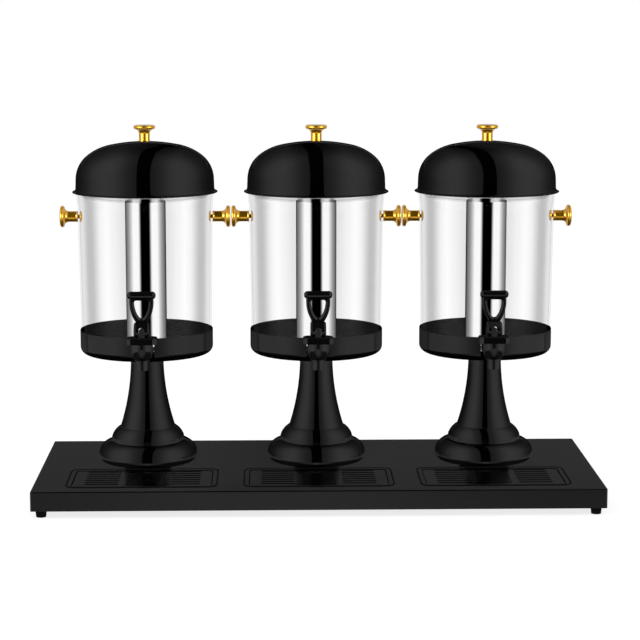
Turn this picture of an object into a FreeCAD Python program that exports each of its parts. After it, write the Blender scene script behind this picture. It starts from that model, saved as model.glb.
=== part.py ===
import FreeCAD, Part
import math
import os
import Sketcher

# Triple juice dispenser. Three clear containers with taps stand on pedestals on one long base plate.
# Millimetres. X runs to the right, Y to the back, Z up. The origin is on the floor under the plate's middle.

DRIVING_SIZES = {
    # base plate, a folded sheet pan on four feet
    "plate_width": 870,
    "plate_depth": 370,
    "plate_height": 29.8,
    "plate_sheet": 1.5,
    "plate_lip": 32,
    "plate_corner": 3,
    "plate_bend": 1.4,
    "foot_height": 11.2,
    "foot_top": 8.8,
    "foot_bottom": 7.5,
    "foot_inset": 15,
    "foot_stem": 3,
    "foot_barb": 4.2,
    # units in a row
    "unit_pitch": 270,
    "unit_back": 41.5,
    # pedestal
    "pedestal_reach": 79,
    "pedestal_hip": 10,
    "pedestal_dome": 23.4,
    "pedestal_step": 57.5,
    "pedestal_step_top": 39.5,
    "pedestal_seat": 44.1,
    "pedestal_height": 56,
    "pedestal_crown": 30,
    "pedestal_wall": 1.5,
    "pedestal_turn_in": 5,
    "column_foot": 43.5,
    "column_neck": 26,
    "column_flare": 367,
    "column_flare_top": 113,
    "column_wall": 1.5,
    "column_plug": 12,
    "bolt_radius": 4,
    "bolt_gap": 0.05,
    "bolt_head": 7.5,
    "bolt_head_height": 5.3,
    "washer_radius": 12,
    "washer_thick": 1.5,
    "washer_gap": 0.3,
    # cup that holds the container
    "cup_bottom": 215.5,
    "cup_height": 38.5,
    "cup_radius": 105.2,
    "cup_corner": 12,
    "cup_wall": 1.2,
    "notch_width": 34.4,
    "notch_sill": 4,
    "notch_corner": 3,
    # container
    "container_gap": 0.3,
    "container_low": 103.3,
    "container_high": 106.4,
    "container_high_up": 233,
    "container_rim": 107.9,
    "container_rim_up": 245,
    "container_tall": 259,
    "container_wall": 3,
    "container_corner": 12,
    "container_floor": 3,
    "punt_rise": 7.5,
    "punt_radius": 30,
    "punt_slope": 4,
    "ring_radius": 34.5,
    "ring_height": 4,
    "ring_foot": 2,
    "ring_gap": 0.2,
    "boss_radius": 16,
    "boss_front": 104.6,
    "boss_back": 96,
    # inner cover and ice tube
    "cover_drop": 13,
    "cover_radius": 101.5,
    "cover_bend": 8.5,
    "cover_wall": 2,
    "cover_flange": 107.5,
    "spigot_length": 14,
    "tube_radius": 32,
    "tube_wall": 0.8,
    "tube_bend": 3,
    "tube_top_gap": 6,
    # lid
    "lid_apex": 551.5,
    "lid_wall": 1,
    "lid_crown": 271,
    "lid_crown_angle": 12,
    "lid_shoulder": 82,
    "lid_shoulder_angle": 38.9,
    "lid_side": 48.3,
    "lid_side_angle": 88,
    "lid_flare": 5,
    "lid_brim": 114.2,
    "lid_brim_bead": 1,
    "lid_brim_low": 471.4,
    "lid_ledge": 101,
    # gold knobs
    "knob_stud": 3,
    "stud_gap": 0.1,
    "knob_stem": 8.5,
    "knob_collar": 9.1,
    "knob_cap": 17.2,
    "knob_cap_thick": 6.8,
    "knob_flare": 7.6,
    "lid_knob_length": 25.5,
    "side_knob_up": 433,
    "side_knob_base": 106.3,
    "side_knob_reach": 134,
    "knob_head": 9,
    "knob_head_thick": 2.6,
    "knob_head_edge": 0.4,
    "knob_head_gap": 0.6,
    "lid_head": 6,
    "lid_head_thick": 2,
    # tap
    "tap_out": 130,
    "shank_up": 236,
    "shank_radius": 11,
    "shank_gap": 0.1,
    "shank_neck": 13,
    "shank_flange": 15.8,
    "shank_flange_thick": 4,
    "shank_inner_end": 86,
    "spout_low": 209.2,
    "spout_radius": 9,
    "spout_bore": 6.5,
    "barrel_low": 224,
    "barrel_low_radius": 11.5,
    "barrel_low_edge": 1,
    "barrel_radius": 16.8,
    "barrel_bulge": 36.7,
    "barrel_bulge_top": 244,
    "barrel_top": 250.2,
    "barrel_neck": 14,
    "chamber_radius": 11,
    "seat_up": 226,
    "inlet_radius": 7.5,
    "bonnet_low": 250.5,
    "bonnet_high": 259.6,
    "bonnet_width": 46,
    "bonnet_depth": 34,
    "bonnet_cut": 6,
    "bonnet_roof": 2,
    "bonnet_bevel": 1.4,
    "bonnet_gap": 0.1,
    "stem_radius": 4.4,
    "stem_gap": 0.08,
    "stem_shoulder": 8,
    "stem_shoulder_thick": 2,
    "stem_nub": 2.25,
    "stem_head": 6,
    "seal_radius": 9,
    "seal_thick": 4.7,
    "seal_land": 1,
    "seal_bevel": 1.5,
    "spring_radius": 6,
    "spring_wire": 0.6,
    "pin_up": 268,
    "pin_radius": 1.5,
    "pin_gap": 0.06,
    "pin_bevel": 0.4,
    "nut_flats": 27,
    "nut_thick": 8,
    "nut_gap": 0.05,
    # tap lever
    "lever_thick": 9,
    "hub_width": 24,
    "hub_round": 3.2,
    "fork_gap": 10,
    "fork_arch_up": 8.5,
    "cam_throw": 6.3,
    "cam_lag": 20,
    "cam_turn": 60,
    "heel_back": 9,
    "hub_top": 15,
    "loop_low": 21.5,
    "loop_high": 49,
    "loop_width": 22.4,
    "loop_bevel": 3,
    "loop_corner": 3,
    "loop_bottom": 5,
    "lever_sweep": 54,
    "lever_round": 2.4,
    "neck_width": 17,
    "shoulder_width": 35,
    "grip_up": 56.8,
    "grip_radius": 6,
    "grip_end": 5.4,
    "grip_length": 43.6,
    # drip tray and its grid
    "tray_front": 159,
    "tray_back": 40,
    "tray_width": 226,
    "tray_corner": 13,
    "tray_sheet": 1,
    "tray_lift": 0.3,
    "tray_floor": 14,
    "tray_rim": 6,
    "tray_recess": 3,
    "tray_ledge": 4,
    "tray_bend": 2,
    "grid_gap": 1.5,
    "grid_thick": 1.2,
    "grid_sink": 1,
    "slot_length": 53,
    "slot_width": 6.4,
    "slot_pitch": 14,
    "slot_rows": 7,
    "slot_shift": 5,
    "group_pitch": 62,
}

UNIT_STEPS = {"left": -1, "middle": 0, "right": 1}
# straight runs of the hidden inner sides, for the whole flare of a column and for each arc of a lid
COLUMN_RUNS = 4
LID_RUNS = 2

document = FreeCAD.newDocument("JuiceDispenser")
sheet = document.addObject("Spreadsheet::Sheet", "Sizes")
for row, (alias, number) in enumerate(DRIVING_SIZES.items(), start=1):
    sheet.set(f"A{row}", alias)
    sheet.set(f"B{row}", str(number))
    sheet.setAlias(f"B{row}", alias)
document.recompute()


class Size:
    """A size with its value and the sheet formula that gives it, so that both follow one expression."""

    def __init__(self, value, formula):
        self.value = value
        self.formula = formula

    def __add__(self, other):
        other = as_size(other)
        return Size(self.value + other.value, f"({self.formula} + {other.formula})")

    def __sub__(self, other):
        other = as_size(other)
        return Size(self.value - other.value, f"({self.formula} - {other.formula})")

    def __mul__(self, other):
        other = as_size(other)
        return Size(self.value * other.value, f"({self.formula} * {other.formula})")

    def __truediv__(self, other):
        other = as_size(other)
        return Size(self.value / other.value, f"({self.formula} / {other.formula})")

    def __radd__(self, other):
        return as_size(other) + self

    def __rsub__(self, other):
        return as_size(other) - self

    def __rmul__(self, other):
        return as_size(other) * self

    def __neg__(self):
        return Size(-self.value, f"(0 - {self.formula})")


def as_size(number):
    if isinstance(number, Size):
        return number
    return Size(float(number), f"({float(number)!r})")


def root(size):
    return Size(math.sqrt(size.value), f"sqrt({size.formula})")


def sine(angle):
    return Size(math.sin(math.radians(angle.value)), f"sin({angle.formula})")


def cosine(angle):
    return Size(math.cos(math.radians(angle.value)), f"cos({angle.formula})")


class SheetSizes:
    """Gives each named cell of the sheet as a Size."""

    def __getattr__(self, alias):
        return Size(float(sheet.get(alias)), f"Sizes.{alias}")


dim = SheetSizes()
plate_top = dim.foot_height + dim.plate_height


def bind(thing, **sizes):
    for name, size in sizes.items():
        thing.setExpression(name, as_size(size).formula)


def place(thing, spot):
    """Put the object's own origin at a point given by three sizes."""
    for axis, size in zip("xyz", spot):
        thing.setExpression(f"Placement.Base.{axis}", as_size(size).formula)


def new_body(name, spot=(0, 0, 0)):
    body = document.addObject("PartDesign::Body", name)
    body.Label = name
    place(body, spot)
    return body


def origin_plane(body, role):
    return next(item for item in body.Origin.OriginFeatures if item.Role == role)


def new_sketch(body, plane, offset=0):
    """A sketch on an origin plane of its body, moved along the plane's normal by the offset."""
    sketch = body.newObject("Sketcher::SketchObject", "sketch")
    sketch.AttachmentSupport = [(origin_plane(body, plane), "")]
    sketch.MapMode = "FlatFace"
    sketch.setExpression("AttachmentOffset.Base.z", as_size(offset).formula)
    return sketch


def fix(sketch, kind, edge, end, size):
    """Hold one coordinate of a point, or a radius, at a size from the sheet."""
    size = as_size(size)
    if kind == "Radius":
        number = sketch.addConstraint(Sketcher.Constraint(kind, edge, size.value))
    else:
        number = sketch.addConstraint(Sketcher.Constraint(kind, edge, end, size.value))
    sketch.setExpression(f"Constraints[{number}]", size.formula)


def arc_edge(start, end, side, radius):
    """The short arc from start to end whose centre lies to that side of its chord."""
    chord = end - start
    half = chord.Length / 2
    reach = math.sqrt(max(radius * radius - half * half, 0))
    left = FreeCAD.Vector(-chord.y, chord.x, 0).normalize()
    centre = (start + end) / 2 + left * (reach if side == "left" else -reach)
    first, last = (start, end) if side == "left" else (end, start)
    angles = [math.atan2(point.y - centre.y, point.x - centre.x) for point in (first, last)]
    return Part.ArcOfCircle(Part.Circle(centre, FreeCAD.Vector(0, 0, 1), radius), *angles)


def draw_outline(sketch, corners):
    """Draw a closed outline through corners (x, y).

    A corner (x, y, side, radius) leaves by an arc whose centre lies left or right of its chord.
    """
    points = [FreeCAD.Vector(as_size(corner[0]).value, as_size(corner[1]).value, 0) for corner in corners]
    edges = []
    for corner, start, end in zip(corners, points, points[1:] + points[:1]):
        if len(corner) == 4:
            side, radius = corner[2], as_size(corner[3])
            edge = sketch.addGeometry(arc_edge(start, end, side, radius.value))
            edges.append((edge, 1, 2) if side == "left" else (edge, 2, 1))
            fix(sketch, "Radius", edge, None, radius)
        else:
            edge = sketch.addGeometry(Part.LineSegment(start, end))
            edges.append((edge, 1, 2))
    for (edge, tail, head), (after, after_tail, after_head) in zip(edges, edges[1:] + edges[:1]):
        sketch.addConstraint(Sketcher.Constraint("Coincident", edge, head, after, after_tail))
    for corner, (edge, tail, head) in zip(corners, edges):
        fix(sketch, "DistanceX", edge, tail, corner[0])
        fix(sketch, "DistanceY", edge, tail, corner[1])
    return sketch


def draw_circle(sketch, x, y, radius):
    x, y, radius = as_size(x), as_size(y), as_size(radius)
    centre = FreeCAD.Vector(x.value, y.value, 0)
    edge = sketch.addGeometry(Part.Circle(centre, FreeCAD.Vector(0, 0, 1), radius.value))
    fix(sketch, "DistanceX", edge, 3, x)
    fix(sketch, "DistanceY", edge, 3, y)
    fix(sketch, "Radius", edge, None, radius)
    return sketch


def draw_box(sketch, width, depth, x=0, y=0, corner=None):
    """A rectangle about (x, y), with rounded corners where a corner radius is given."""
    right, left = x + width / 2, x - width / 2
    back, front = y + depth / 2, y - depth / 2
    if corner is None:
        return draw_outline(sketch, [(left, front), (right, front), (right, back), (left, back)])
    return draw_outline(sketch, [
        (left + corner, front), (right - corner, front, "left", corner),
        (right, front + corner), (right, back - corner, "left", corner),
        (right - corner, back), (left + corner, back, "left", corner),
        (left, back - corner), (left, front + corner, "left", corner),
    ])


def draw_slot(sketch, x, y, length, width):
    """A slot along x with round ends."""
    straight = (length - width) / 2
    half = width / 2
    return draw_outline(sketch, [
        (x - straight, y - half), (x + straight, y - half, "left", half),
        (x + straight + half, y, "left", half),
        (x + straight, y + half), (x - straight, y + half, "left", half),
        (x - straight - half, y, "left", half),
    ])


def add_feature(body, kind, sketch, **settings):
    feature = body.newObject(f"PartDesign::{kind}", kind.lower())
    feature.Profile = sketch
    for name, value in settings.items():
        setattr(feature, name, value)
    return feature


def pad(body, sketch, length, side="One side", reverse=False):
    feature = add_feature(body, "Pad", sketch, SideType=side, Reversed=reverse)
    bind(feature, Length=length)
    document.recompute()
    return feature


def revolve(body, sketch, axis="V_Axis"):
    feature = add_feature(body, "Revolution", sketch, ReferenceAxis=(sketch, [axis]), Angle=360)
    document.recompute()
    return feature


def check_removed(body, before):
    document.recompute()
    if body.Shape.Volume > before - 1e-3:
        raise RuntimeError(f"a cut in {body.Label} removed nothing")


def pocket(body, sketch, depth, side="One side", reverse=False):
    before = body.Shape.Volume
    feature = add_feature(body, "Pocket", sketch, SideType=side, Reversed=reverse)
    bind(feature, Length=depth)
    check_removed(body, before)
    return feature


def groove(body, sketch, axis="V_Axis"):
    before = body.Shape.Volume
    feature = add_feature(body, "Groove", sketch, ReferenceAxis=(sketch, [axis]), Angle=360)
    check_removed(body, before)
    return feature


def repeat(body, features, axis, length, count):
    """Repeat features along an axis of the body, count times over the length."""
    pattern = body.newObject("PartDesign::LinearPattern", "pattern")
    pattern.Originals = features
    pattern.Direction = (origin_plane(body, axis), [""])
    bind(pattern, Length=length)
    pattern.Occurrences = count
    body.Tip = pattern
    document.recompute()
    return pattern


def mirror(body, feature, plane):
    copy = body.newObject("PartDesign::Mirrored", "mirrored")
    copy.Originals = [feature]
    copy.MirrorPlane = (origin_plane(body, plane), [""])
    body.Tip = copy
    document.recompute()
    return copy


def soften(body, kind, size, wanted):
    """Fillet or chamfer the edges of the body's last feature that the test picks."""
    base = body.Tip
    names = [f"Edge{number}" for number, edge in enumerate(base.Shape.Edges, start=1) if wanted(edge)]
    feature = body.newObject(f"PartDesign::{kind}", kind.lower())
    feature.Base = (base, names)
    if kind == "Fillet":
        bind(feature, Radius=size)
    else:
        bind(feature, Size=size)
    document.recompute()
    return feature


def is_upright(edge):
    box = edge.BoundBox
    return box.XLength < 1e-6 and box.YLength < 1e-6 and box.ZLength > 1e-6


def lies_at(height, edge):
    return abs(edge.BoundBox.ZMin - height) < 1e-4 and abs(edge.BoundBox.ZMax - height) < 1e-4


def lies_beside(distance, edge):
    """True for an edge in one of the two upright planes at this distance from the middle."""
    box = edge.BoundBox
    return box.XLength < 1e-6 and abs(abs(box.XMin) - distance) < 1e-4


def primitive(kind, spot, **sizes):
    solid = document.addObject(f"Part::{kind}", kind.lower())
    bind(solid, **sizes)
    place(solid, spot)
    return solid


def joined(*solids):
    union = document.addObject("Part::MultiFuse", "union")
    union.Shapes = list(solids)
    return union


def cut_from(solid, tool):
    rest = document.addObject("Part::Cut", "cut")
    rest.Base = solid
    rest.Tool = tool
    return rest


def group(name, solids):
    """Alike pieces that share one name."""
    bundle = document.addObject("Part::Compound", name)
    bundle.Label = name
    bundle.Links = solids
    return bundle


# Parts that the three units share

def base_plate():
    """Folded pan, open below, with a turned-in lip, three tray openings and three bolt holes."""
    body = new_body("base_plate", (0, 0, dim.foot_height))
    wall = dim.plate_sheet
    pad(body, draw_box(new_sketch(body, "XY_Plane"), dim.plate_width, dim.plate_depth), dim.plate_height)
    soften(body, "Fillet", dim.plate_corner, is_upright)
    top = dim.plate_height.value
    soften(body, "Fillet", dim.plate_bend, lambda edge: lies_at(top, edge))
    inside = draw_box(new_sketch(body, "XY_Plane"), dim.plate_width - 2 * wall, dim.plate_depth - 2 * wall)
    pocket(body, inside, dim.plate_height - wall, reverse=True)
    lip = new_sketch(body, "XY_Plane")
    draw_box(lip, dim.plate_width - wall, dim.plate_depth - wall, corner=dim.plate_corner)
    draw_box(lip, dim.plate_width - 2 * dim.plate_lip, dim.plate_depth - 2 * dim.plate_lip)
    pad(body, lip, wall)
    stems = new_sketch(body, "XY_Plane")
    for x, y in foot_spots():
        draw_circle(stems, x, y, dim.foot_stem)
    pocket(body, stems, wall, reverse=True)
    opening = new_sketch(body, "XY_Plane", dim.plate_height)
    width, depth = tray_recess_outer()
    slack = 2 * dim.tray_sheet
    corner = dim.tray_corner - dim.tray_rim
    draw_box(opening, width + slack, depth + slack, -dim.unit_pitch, tray_middle(), corner)
    cut_out = pocket(body, opening, 2 * wall)
    bolt = new_sketch(body, "XY_Plane", dim.plate_height)
    draw_circle(bolt, -dim.unit_pitch, dim.unit_back, dim.bolt_radius + dim.bolt_gap)
    bolt_hole = pocket(body, bolt, 2 * wall)
    repeat(body, [cut_out, bolt_hole], "X_Axis", 2 * dim.unit_pitch, len(UNIT_STEPS))


def foot_spots():
    x = dim.plate_width / 2 - dim.foot_inset
    y = dim.plate_depth / 2 - dim.foot_inset
    return [(-x, -y), (x, -y), (x, y), (-x, y)]


def rubber_feet():
    """Tapered push-in feet. Each stem passes the plate's lip and ends in a barb above it."""
    barb = dim.foot_barb
    barb_low = dim.foot_height + dim.plate_sheet
    feet = []
    for x, y in foot_spots():
        foot = primitive("Cone", (x, y, 0), Radius1=dim.foot_bottom, Radius2=dim.foot_top,
                         Height=dim.foot_height)
        stem = primitive("Cylinder", (x, y, dim.foot_height), Radius=dim.foot_stem, Height=dim.plate_sheet)
        tip = primitive("Cone", (x, y, barb_low), Radius1=barb, Radius2=barb / 2, Height=barb)
        feet.append(joined(foot, stem, tip))
    group("rubber_feet", feet)


def hex_bolt(spot, reach, head_up):
    """A hex bolt and its washer, which lies at the spot. The bolt reaches on past it, down or up."""
    x, y, z = spot
    washer_low = z if head_up else z - dim.washer_thick
    shank_low = z - reach if head_up else washer_low
    head_low = z + dim.washer_thick if head_up else washer_low - dim.bolt_head_height
    shank_length = reach + dim.washer_thick
    shank = primitive("Cylinder", (x, y, shank_low), Radius=dim.bolt_radius, Height=shank_length)
    head = primitive("Prism", (x, y, head_low), Circumradius=dim.bolt_head, Height=dim.bolt_head_height)
    head.Polygon = 6
    disc = primitive("Cylinder", (x, y, washer_low), Radius=dim.washer_radius, Height=dim.washer_thick)
    bore_radius = dim.bolt_radius + dim.washer_gap
    bore = primitive("Cylinder", (x, y, washer_low), Radius=bore_radius, Height=dim.washer_thick)
    return [joined(shank, head), cut_from(disc, bore)]


def pedestal_bolts():
    """One bolt down through each cup into its column, and one up through the plate, with their washers."""
    bolts = []
    cup_floor = dim.cup_bottom + dim.cup_wall
    under_plate = plate_top - dim.plate_sheet
    reach = dim.column_plug - dim.cup_wall
    for step in UNIT_STEPS.values():
        x = dim.unit_pitch * step
        bolts += hex_bolt((x, dim.unit_back, cup_floor), dim.cup_wall + reach, True)
        lower_reach = dim.plate_sheet + dim.pedestal_height + reach
        bolts += hex_bolt((x, dim.unit_back, under_plate), lower_reach, False)
    group("pedestal_bolts", bolts)


# Parts of each unit. A unit's own axis is vertical, and its heights count from the floor.

def unit_spot(step, forward=0, up=0):
    return (dim.unit_pitch * step, dim.unit_back - forward, up)


def pedestal_base(name, step):
    """Two-step dome: a bulging lower ring and a smaller ring that carries the column.

    Its hidden inner side has straight runs, so the wall is thickest where the outside bulges.
    """
    body = new_body(name, unit_spot(step))
    wall = dim.pedestal_wall
    bore = dim.bolt_radius + dim.bolt_gap
    low = plate_top
    top = low + dim.pedestal_height
    hip_up = low + dim.pedestal_hip
    hip_middle = dim.pedestal_reach - dim.pedestal_hip
    dome_middle = dim.pedestal_reach - dim.pedestal_dome
    step_in = dim.pedestal_step - dome_middle
    step_low = hip_up + root(dim.pedestal_dome * dim.pedestal_dome - step_in * step_in)
    inner_dome = dim.pedestal_dome - wall
    inner_in = step_in - wall
    inner_low = hip_up + root(inner_dome * inner_dome - inner_in * inner_in)
    step_top = low + dim.pedestal_step_top
    lip = hip_middle - dim.pedestal_turn_in
    draw = draw_outline(new_sketch(body, "XZ_Plane"), [
        (bore, top),
        (dim.pedestal_seat, top, "right", dim.pedestal_crown),
        (dim.pedestal_step, step_top),
        (dim.pedestal_step, step_low, "right", dim.pedestal_dome),
        (dim.pedestal_reach, hip_up, "right", dim.pedestal_hip),
        (hip_middle, low),
        (lip, low),
        (lip, low + wall),
        (hip_middle, low + wall),
        (dim.pedestal_reach - wall, hip_up),
        (dim.pedestal_step - wall, inner_low),
        (dim.pedestal_step - wall, step_top),
        (dim.pedestal_seat - wall / 2, top - wall),
        (bore, top - wall),
    ])
    revolve(body, draw)


def column(name, step):
    """Flared column with a plug at each end for its bolt. Its cavity follows the flare in straight runs."""
    body = new_body(name, unit_spot(step))
    bore = dim.bolt_radius + dim.bolt_gap
    low = plate_top + dim.pedestal_height
    top = dim.cup_bottom
    straight_up = low + dim.column_flare_top
    centre = dim.column_neck + dim.column_flare
    inner_flare = dim.column_flare + dim.column_wall
    cavity = dim.column_neck - dim.column_wall
    flared = []
    for run in range(COLUMN_RUNS):
        drop = (dim.column_flare_top - dim.column_plug) * (run + 1) / COLUMN_RUNS
        flared.append((centre - root(inner_flare * inner_flare - drop * drop), straight_up - drop))
    draw = draw_outline(new_sketch(body, "XZ_Plane"), [
        (bore, low),
        (dim.column_foot, low, "right", dim.column_flare),
        (dim.column_neck, straight_up),
        (dim.column_neck, top),
        (bore, top),
        (bore, top - dim.column_plug),
        (cavity, top - dim.column_plug),
        (cavity, straight_up),
        *flared,
        (bore, low + dim.column_plug),
    ])
    revolve(body, draw)


def cup(name, step):
    """Shallow cup with a rounded bottom edge and a notch at the front, open at the top, for the tap."""
    body = new_body(name, unit_spot(step))
    wall = dim.cup_wall
    bore = dim.bolt_radius + dim.bolt_gap
    low = dim.cup_bottom
    top = low + dim.cup_height
    bend_in = dim.cup_radius - dim.cup_corner
    bend_up = low + dim.cup_corner
    draw = draw_outline(new_sketch(body, "XZ_Plane"), [
        (bore, low),
        (bend_in, low, "left", dim.cup_corner),
        (dim.cup_radius, bend_up),
        (dim.cup_radius, top - wall / 2),
        (dim.cup_radius - wall / 4, top),
        (dim.cup_radius - 3 * wall / 4, top),
        (dim.cup_radius - wall, top - wall / 2),
        (dim.cup_radius - wall, bend_up, "right", dim.cup_corner - wall),
        (bend_in, low + wall),
        (bore, low + wall),
    ])
    revolve(body, draw)
    half = dim.notch_width / 2
    corner = dim.notch_corner
    sill = low + dim.notch_sill
    notch = draw_outline(new_sketch(body, "XZ_Plane"), [
        (corner - half, sill), (half - corner, sill, "left", corner),
        (half, sill + corner), (half, top + corner),
        (-half, top + corner), (-half, sill + corner, "left", corner),
    ])
    pocket(body, notch, dim.cup_radius + corner, reverse=True)


def container_low():
    return dim.cup_bottom + dim.cup_wall + dim.container_gap


def container(name, step):
    """Clear tapered container with a raised middle, a ring for the ice tube and a boss for the tap."""
    body = new_body(name, unit_spot(step))
    wall = dim.container_wall
    low = container_low()
    floor = low + dim.container_floor
    bend_up = low + dim.container_corner
    bend_in = dim.container_low - dim.container_corner
    high = low + dim.container_high_up
    rim_low = low + dim.container_rim_up
    rim = low + dim.container_tall
    punt = low + dim.punt_rise
    shelf = punt + dim.container_floor
    ring_bore = dim.tube_radius + dim.ring_gap
    draw = draw_outline(new_sketch(body, "XZ_Plane"), [
        (0, punt),
        (dim.punt_radius, punt),
        (dim.punt_radius + dim.punt_slope, low),
        (bend_in, low, "left", dim.container_corner),
        (dim.container_low, bend_up),
        (dim.container_high, high),
        (dim.container_rim, rim_low),
        (dim.container_rim, rim),
        (dim.container_rim - wall, rim),
        (dim.container_rim - wall, rim_low),
        (dim.container_high - wall, high),
        (dim.container_low - wall, bend_up, "right", dim.container_corner - wall),
        (bend_in, floor),
        (dim.ring_radius + dim.ring_foot, floor),
        (dim.ring_radius, floor + dim.ring_foot),
        (dim.ring_radius, shelf + dim.ring_height),
        (ring_bore, shelf + dim.ring_height),
        (ring_bore, shelf),
        (0, shelf),
    ])
    revolve(body, draw)
    boss = draw_circle(new_sketch(body, "XZ_Plane", dim.boss_back), 0, dim.shank_up, dim.boss_radius)
    pad(body, boss, dim.boss_front - dim.boss_back)
    hole = new_sketch(body, "XZ_Plane", dim.shank_inner_end)
    draw_circle(hole, 0, dim.shank_up, dim.shank_radius + dim.shank_gap)
    pocket(body, hole, dim.boss_front, reverse=True)
    knob_holes = draw_circle(new_sketch(body, "YZ_Plane"), 0, dim.side_knob_up, dim.knob_stud + dim.stud_gap)
    pocket(body, knob_holes, 2 * dim.side_knob_reach, side="Symmetric")


def cover_low():
    return container_low() + dim.container_tall - dim.cover_drop


def inner_cover(name, step):
    """Clear dish in the container's mouth. Its spigot centres the ice tube and is the way in for ice."""
    body = new_body(name, unit_spot(step))
    wall = dim.cover_wall
    low = cover_low()
    rim = low + dim.cover_drop
    spigot = dim.tube_radius - dim.tube_wall - dim.ring_gap
    bend_in = dim.cover_radius - dim.cover_bend
    bend_up = low + dim.cover_bend
    draw = draw_outline(new_sketch(body, "XZ_Plane"), [
        (spigot - wall, low - dim.spigot_length),
        (spigot, low - dim.spigot_length),
        (spigot, low),
        (bend_in, low, "left", dim.cover_bend),
        (dim.cover_radius, bend_up),
        (dim.cover_radius, rim),
        (dim.cover_flange, rim),
        (dim.cover_flange, rim + wall),
        (dim.cover_radius - wall, rim + wall),
        (dim.cover_radius - wall, bend_up, "right", dim.cover_bend - wall),
        (bend_in, low + wall),
        (spigot - wall, low + wall),
    ])
    revolve(body, draw)


def ice_tube(name, step):
    """Thin steel tube, closed at the bottom, that stands in the container's ring."""
    body = new_body(name, unit_spot(step))
    low = container_low() + dim.punt_rise + dim.container_floor
    top = cover_low() - dim.tube_top_gap
    inner = dim.tube_radius - dim.tube_wall
    bend_in = dim.tube_radius - dim.tube_bend
    draw = draw_outline(new_sketch(body, "XZ_Plane"), [
        (0, low),
        (bend_in, low, "left", dim.tube_bend),
        (dim.tube_radius, low + dim.tube_bend),
        (dim.tube_radius, top),
        (inner, top),
        (inner, low + dim.tube_bend),
        (bend_in, low + dim.tube_wall),
        (0, low + dim.tube_wall),
    ])
    revolve(body, draw)


def lid_points(inset, runs=1):
    """The ends of the dome's three arcs, for a skin this far inside its outer face.

    With more runs, points along each arc come before its end.
    """
    angles = [dim.lid_crown_angle, dim.lid_shoulder_angle, dim.lid_side_angle]
    radii = [dim.lid_crown, dim.lid_shoulder, dim.lid_side]
    across = as_size(0)
    up = dim.lid_apex - dim.lid_crown
    before = as_size(0)
    points = []
    for number, (angle, radius) in enumerate(zip(angles, radii)):
        reach = radius - inset
        for run in range(runs):
            way = before + (angle - before) * (run + 1) / runs
            points.append((across + reach * sine(way), up + reach * cosine(way)))
        if number + 1 < len(radii):
            drop = radius - radii[number + 1]
            across = across + drop * sine(angle)
            up = up + drop * cosine(angle)
        before = angle
    return points


def lid_side_radius(inset, height):
    """How far out the drafted side is at a height below the dome's last tangent point."""
    out, up = lid_points(inset)[-1]
    return out + (up - height) * cosine(dim.lid_side_angle) / sine(dim.lid_side_angle)


def lid_shell(name, step):
    """Spun dome lid with a drafted side, a flared brim with a bead, and a ledge that rests on the cover.

    The hidden inner side of its dome has straight runs.
    """
    body = new_body(name, unit_spot(step))
    wall = dim.lid_wall
    hole = dim.knob_stud + dim.stud_gap
    outer = lid_points(0)
    inner = lid_points(wall, LID_RUNS)
    crown_low = dim.lid_apex - dim.lid_crown
    inner_crown = dim.lid_crown - wall
    ledge_low = cover_low() + dim.cover_drop + dim.cover_wall + dim.container_gap
    ledge_high = ledge_low + wall
    bead = dim.lid_brim_bead
    bead_middle = dim.lid_brim - bead
    draw = draw_outline(new_sketch(body, "XZ_Plane"), [
        (hole, crown_low + root(dim.lid_crown * dim.lid_crown - hole * hole), "right", dim.lid_crown),
        (*outer[0], "right", dim.lid_shoulder),
        (*outer[1], "right", dim.lid_side),
        outer[2],
        (lid_side_radius(0, ledge_low), ledge_low, "left", dim.lid_flare),
        (bead_middle, dim.lid_brim_low + 2 * bead),
        (dim.lid_brim, dim.lid_brim_low + 3 * bead / 2),
        (dim.lid_brim, dim.lid_brim_low + bead / 2),
        (bead_middle, dim.lid_brim_low),
        (bead_middle - bead, dim.lid_brim_low),
        (lid_side_radius(wall, ledge_low), ledge_low),
        (dim.lid_ledge, ledge_low),
        (dim.lid_ledge, ledge_high),
        (lid_side_radius(wall, ledge_high), ledge_high),
        *inner[::-1],
        (hole, crown_low + root(inner_crown * inner_crown - hole * hole)),
    ])
    revolve(body, draw)


def knob_corners(base, length):
    """Outline of a knob from its base to its cap, as (along, radius) corners with their bends."""
    cap_low = base + length - dim.knob_cap_thick
    edge = dim.knob_cap_thick / 2
    collar = dim.knob_collar - dim.knob_stem
    return [
        (base, dim.knob_collar - collar),
        (base + collar, dim.knob_collar),
        (base + 2 * collar, dim.knob_collar),
        (base + 4 * collar, dim.knob_stem),
        (cap_low - dim.knob_flare, dim.knob_stem, "flare", dim.knob_flare),
        (cap_low, dim.knob_cap - dim.knob_flare / 2),
        (cap_low, dim.knob_cap - edge, "cap", edge),
        (cap_low + edge, dim.knob_cap, "cap", edge),
        (base + length, dim.knob_cap - edge),
    ]


def lid_knob(name, step):
    """Turned knob. Its stud passes the lid and is headed over inside."""
    body = new_body(name, unit_spot(step))
    head_top = dim.lid_apex - dim.lid_wall - dim.stud_gap
    head_low = head_top - dim.lid_head_thick
    sides = {"flare": "right", "cap": "left"}
    corners = [
        (0, head_low), (dim.lid_head, head_low), (dim.lid_head, head_top),
        (dim.knob_stud, head_top), (dim.knob_stud, dim.lid_apex),
    ]
    for along, radius, *bend in knob_corners(dim.lid_apex, dim.lid_knob_length):
        corners.append((radius, along, sides[bend[0]], bend[1]) if bend else (radius, along))
    corners.append((0, dim.lid_apex + dim.lid_knob_length))
    revolve(body, draw_outline(new_sketch(body, "XZ_Plane"), corners))


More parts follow.
